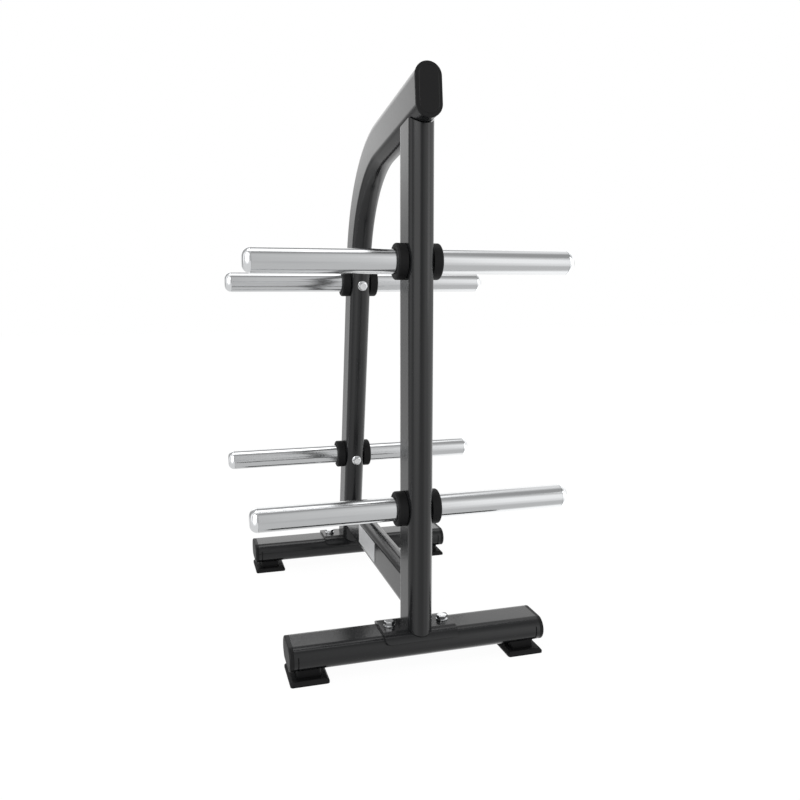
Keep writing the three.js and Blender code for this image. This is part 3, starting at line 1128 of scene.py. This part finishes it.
def hex_bolt(shank):
    """A chamfered hexagon head with a shallow dish, on its seat at zero, with its shank below."""
    flat = ACROSS_FLATS / 2
    crown = flat * CROWN_SHARE
    dish_rim, dish_floor = (crown * share for share in DISH_SHARES)
    seat_low, seat_high = (flat * share for share in SEAT_SHARES)
    top = []
    for point in hex_ring(0.0):
        beyond = max(hypot(point.x, point.y) - crown, 0.0)
        top.append(Vector((point.x, point.y, HEAD_HEIGHT - beyond * tan(HEAD_CHAMFER))))
    under = [
        (SHANK_RADIUS - SHANK_CHAMFER, -shank),
        (SHANK_RADIUS, SHANK_CHAMFER - shank),
        (SHANK_RADIUS, -SEAT_STEP),
        (seat_low, 0.0),
        (seat_high, SEAT_HEIGHT),
    ]
    over = [(crown, HEAD_HEIGHT), (dish_rim, HEAD_HEIGHT), (dish_floor, HEAD_HEIGHT - DISH_DEPTH)]
    low, high = ([circle(radius, height, HEAD_STEPS) for radius, height in half] for half in (under, over))
    return loft("part", [*low, hex_ring(SEAT_HEIGHT), top, *high])


def set_bolt_places(kind, face):
    """Places on the axes of the bars' set bolts, at a distance from the bars, turned outwards."""
    places = {}
    for level, centre in BAR_CENTRES.items():
        turn = bar_turn(level)
        place = centre + Matrix.Rotation(turn, 4, "X") @ Vector((0, -face, 0))
        places[f"{level}_{kind}"] = (place, (turn + pi / 2, 0, 0))
    return places


class RACK_OT_bolts(bpy.types.Operator):
    """Hexagon bolts through the saddle plates and into the bars"""

    bl_idname = "rack.bolts"
    bl_label = "Bolts"

    def execute(self, context):
        low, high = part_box("front_left_saddle_bolt")
        seat = high.z - HEAD_HEIGHT
        places = corner_places("saddle_bolt", seat, SADDLE_BOLT_TURNS)
        part_copies(hex_bolt(seat - low.z), places, "zinc_fasteners")
        face = TUBE_DEPTH / 2 + WASHER_THICK + 2 * sizes().gap
        shank = extent("upper_front_set_bolt").y - HEAD_HEIGHT
        part_copies(hex_bolt(shank), set_bolt_places("set_bolt", face), "zinc_fasteners")
        return {"FINISHED"}


class RACK_OT_washers(bpy.types.Operator):
    """Washers under the bolt heads"""

    bl_idname = "rack.washers"
    bl_label = "Washers"

    def execute(self, context):
        bore, rim, edge = BOLT_HOLE / 2, WASHER_RIM, WASHER_EDGE
        profile = [(bore, 0.0), (rim - edge, 0.0), (rim, edge), (rim, WASHER_THICK - edge)]
        profile += [(rim - edge, WASHER_THICK), (bore + edge, WASHER_THICK), (bore, WASHER_THICK - edge)]
        part = turned("part", profile, BORE_STEPS, loop=True)
        places = corner_places("saddle_washer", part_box("front_left_saddle_washer")[0].z)
        places.update(set_bolt_places("set_bolt_washer", TUBE_DEPTH / 2 + sizes().gap))
        part_copies(part, places, "zinc_fasteners")
        return {"FINISHED"}


class RACK_OT_weld_nuts(bpy.types.Operator):
    """Nuts inside the feet, which stay as they are packed"""

    bl_idname = "rack.weld_nuts"
    bl_label = "Weld nuts"

    def execute(self, context):
        for end, side in CORNERS:
            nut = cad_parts[f"{end}_{side}_weld_nut"]
            for slot in nut.material_slots:
                slot.material = finish("zinc_fasteners")
        return {"FINISHED"}


class RACK_OT_name_plate(bpy.types.Operator):
    """Blank plate on the cross member"""

    bl_idname = "rack.name_plate"
    bl_label = "Name plate"

    def execute(self, context):
        size, centre = extent("blank_name_plate"), middle("blank_name_plate")
        edge, border, corner, least_corner = 0.00015, 0.003, 0.002, 0.0006
        place = Matrix.Translation(centre) @ Matrix.Rotation(-pi / 2, 4, "Y")
        half = size.x / 2
        profile = [(0.0, -half), (0.0, half - edge), (edge, half)]
        profile += [(border, half), (border + edge, half - edge)]
        rings = []
        for inset, height in profile:
            radius = max(corner - inset, least_corner)
            rings.append(rounded(size.z - 2 * inset, size.y - 2 * inset, radius, height))
        plate = loft("blank_name_plate_shown", rings, place=place)
        wear(smooth(plate), "name_plate", "blank_name_plate")
        return {"FINISHED"}


# Stage

SENSOR_WIDTH = 36.0
CLIP_END = 100.0
LAMP_TARGET = (0, 0, 0.6)
WHITE = (1, 1, 1, 1)

# The floor's own light is shown only to rays that see a background
FLOOR_REACH = 12.0
FLOOR_COLOUR = (0.5, 0.5, 0.5, 1)
FLOOR_GLOW = 1.12
FLOOR_GLOW_SHARE = 0.86

# Light round the studio, by the angle from straight behind the rack, seen from the camera
WALL_LIGHT = (
    (-180, 0.4), (-177, 0.6), (-171, 1.5), (-122, 1.4), (-117, 0.5), (-100, 0.55), (-94, 0.9), (-80, 0.85),
    (-68, 0.32), (-43, 0.24), (-36, 0.7), (-33, 0.85), (-29, 1.1), (30, 1.0), (50, 0.7), (74, 1.1),
    (100, 1.35), (110, 1.05), (141, 1.05), (149, 0.64), (158, 0.6), (165, 0.36), (180, 0.4),
)

# The same for what the floor sends back
LOW_LIGHT = (
    (-180, 0.62), (-170, 0.65), (-151, 1.05), (-132, 0.82), (-111, 0.54), (-86, 0.62), (-55, 0.5),
    (-33, 0.56), (-28, 0.72), (0, 0.8), (17, 1.1), (54, 1.2), (87, 1.05), (112, 0.82), (133, 0.94),
    (153, 0.52), (180, 0.62),
)

# Light of the backdrop behind the rack, by the sine of the height above the horizon
BACKDROP_LIGHT = ((0.0, 0.62), (0.06, 0.68), (0.11, 0.9), (0.17, 1.32), (0.31, 1.24), (0.38, 1.0))

# A ramp holds light as a share of this, because its colours end at one
PEAK_LIGHT = 2.0

# Light of the ceiling, what its lamp and its right side add, and light of the steepest way down
CEILING_LIGHT = 0.36
CEILING_LAMP = 1.5
CEILING_SIDE = 0.5
STEEP_LIGHT = 0.58


def seen_rays(graph):
    """Rays that show a background: straight from the camera, mirrored or through glass."""
    kinds = ("Is Camera Ray", "Is Glossy Ray", "Is Transmission Ray")
    camera, glossy, through = (graph.node("ShaderNodeLightPath", output=kind) for kind in kinds)
    total = camera + glossy + through
    return total.math("MINIMUM", total, 1.0), glossy


def add_lamp(name, power, place, width, height):
    """A soft rectangular lamp that shines on the middle of the rack."""
    lamp = bpy.data.lights.new(name, "AREA")
    lamp.shape = "RECTANGLE"
    lamp.size = width
    lamp.size_y = height
    lamp.energy = power
    obj = new_object(name, lamp)
    aim = Vector(LAMP_TARGET) - Vector(place)
    obj.rotation_euler = aim.to_track_quat("-Z", "Y").to_euler()
    obj.location = place


class RACK_OT_stage(bpy.types.Operator):
    """Camera, lamps, pale floor and background"""

    bl_idname = "rack.stage"
    bl_label = "Stage"

    def execute(self, context):
        given = stage_settings()
        camera = bpy.data.cameras.new("camera")
        camera.lens = given.lens
        camera.sensor_width = SENSOR_WIDTH
        camera.clip_end = CLIP_END
        view = new_object("camera", camera)
        view.location = given.camera_place
        view.rotation_euler = (pi / 2 - given.camera_fall, given.camera_roll, -given.camera_turn)
        context.scene.camera = view
        context.scene.view_settings.view_transform = "Standard"
        self.background(given)
        self.floor()
        add_lamp("key_lamp", given.key, place=(-2.2, -1.6, 2.6), width=1.8, height=1.8)
        add_lamp("fill_lamp", given.fill, place=(2.4, -1.8, 1.6), width=1.4, height=2.0)
        return {"FINISHED"}

    def background(self, given):
        world = bpy.data.worlds.new("studio")
        bpy.context.scene.world = world
        world.use_nodes = True
        graph = ShaderGraph(world.node_tree)
        seen, glossy = seen_rays(graph)
        strength = given.ambient + seen * (1.0 - given.ambient)
        strength = strength + glossy * (self.room(graph) * given.room - 1.0)
        light = graph.node("ShaderNodeBackground", None, {"Color": WHITE, "Strength": strength})
        graph.node("ShaderNodeOutputWorld", None, {"Surface": light})

    def room(self, graph):
        """Brightness of the studio by direction. Each ramp's stops pair a place on it with its grey."""
        turn = (0.0, 0.0, stage_settings().camera_turn)
        direction = graph.node("ShaderNodeTexCoord", output="Generated")
        ahead = graph.node("ShaderNodeMapping", None, {"Vector": direction, "Rotation": turn})
        across, along, up = (graph.node("ShaderNodeSeparateXYZ", None, {0: ahead}, axis) for axis in "XYZ")
        down = up * -1.0
        around = across.math("ARCTAN2", across, along) / (2 * pi) + 0.5

        def band(value, lights):
            return graph.ramp(value, *((stop, light / PEAK_LIGHT) for stop, light in lights)) * PEAK_LIGHT

        def wheel(lights):
            return band(around, [((degrees + 180) / 360, light) for degrees, light in lights])

        rise = band(up, BACKDROP_LIGHT)
        behind = graph.ramp(along, (0.5, 0.0), (0.75, 1.0))
        wall = wheel(WALL_LIGHT) * (1.0 + behind * (rise - 1.0))
        low = wheel(LOW_LIGHT)
        steep = graph.ramp(across + along, (0.4, 1.0), (0.65, 0.0))
        low = low + steep * graph.ramp(down, (0.34, 0.0), (0.55, 1.0)) * (STEEP_LIGHT - low)
        wall = wall + graph.ramp(down, (0.04, 0.0), (0.26, 1.0)) * (low - wall)
        lamp = graph.ramp(across, (0.2, 1.0), (0.3, 0.0)) * graph.ramp(up, (0.86, 0.0), (0.93, 1.0))
        lamp = lamp * graph.ramp(along + 0.5, (0.38, 0.0), (0.5, 1.0))
        side = graph.ramp(across, (0.14, 0.0), (0.24, 1.0)) * graph.ramp(along, (0.05, 0.0), (0.4, 1.0))
        ceiling = CEILING_LIGHT + lamp * CEILING_LAMP + side * CEILING_SIDE
        near = graph.ramp(along, (0.0, 1.0), (0.2, 0.0))
        far_lift = graph.ramp(up, (0.46, 0.0), (0.62, 1.0))
        near_lift = graph.ramp((up + across) * 0.5, (0.51, 0.0), (0.65, 1.0))
        near_lift = near_lift.math("MAXIMUM", near_lift, graph.ramp(up, (0.8, 0.0), (0.9, 1.0)))
        lift = far_lift + near * (near_lift - far_lift)
        return wall + lift * (ceiling - wall)

    def floor(self):
        corners = [(x * FLOOR_REACH, y * FLOOR_REACH, 0) for x, y in ((-1, -1), (1, -1), (1, 1), (-1, 1))]
        floor = new_object("floor", new_mesh("floor", corners, faces=[(0, 1, 2, 3)]))
        material = bpy.data.materials.new("pale_floor")
        material.use_nodes = True
        graph = ShaderGraph(material.node_tree)
        seen, glossy = seen_rays(graph)
        matt = graph.node("ShaderNodeBsdfDiffuse", None, {"Color": FLOOR_COLOUR})
        pale = graph.node("ShaderNodeEmission", None, {"Color": WHITE, "Strength": FLOOR_GLOW})
        share = graph.node("ShaderNodeMixShader", None, {0: seen * FLOOR_GLOW_SHARE, 1: matt, 2: pale})
        clear = graph.node("ShaderNodeBsdfTransparent")
        mirrored = graph.node("ShaderNodeMixShader", None, {0: glossy, 1: share, 2: clear})
        graph.node("ShaderNodeOutputMaterial", None, {"Surface": mirrored})
        floor.data.materials.append(material)


OPERATORS = (
    RACK_OT_stage,
    RACK_OT_bent_beam,
    RACK_OT_front_upright,
    RACK_OT_cross_member,
    RACK_OT_feet,
    RACK_OT_saddle_plates,
    RACK_OT_end_caps,
    RACK_OT_foot_pads,
    RACK_OT_storage_bars,
    RACK_OT_bar_plugs,
    RACK_OT_collars,
    RACK_OT_bolts,
    RACK_OT_washers,
    RACK_OT_weld_nuts,
    RACK_OT_name_plate,
)
GROUPS = {"rack_sizes": RackSizes, "rack_finishes": RackFinishes, "rack_stage": RackStage}


class RACK_PT_panel(bpy.types.Panel):
    """Lists the rack's pieces in the sidebar"""

    bl_idname = "RACK_PT_panel"
    bl_label = "Plate tree"
    bl_space_type = "VIEW_3D"
    bl_region_type = "UI"
    bl_category = "Plate tree"

    def draw(self, context):
        for operator in OPERATORS:
            self.layout.operator(operator.bl_idname)
        for name, group in GROUPS.items():
            for label in group.__annotations__:
                self.layout.prop(getattr(context.scene, name), label)


CLASSES = (*GROUPS.values(), *OPERATORS, RACK_PT_panel)


def register():
    for item in CLASSES:
        bpy.utils.register_class(item)
    for name, group in GROUPS.items():
        setattr(bpy.types.Scene, name, PointerProperty(type=group))


def unregister():
    for name in GROUPS:
        delattr(bpy.types.Scene, name)
    for item in reversed(CLASSES):
        bpy.utils.unregister_class(item)


def main():
    register()
    for operator in OPERATORS:
        category, name = operator.bl_idname.split(".")
        getattr(getattr(bpy.ops, category), name)()


if __name__ == "__main__":
    main()
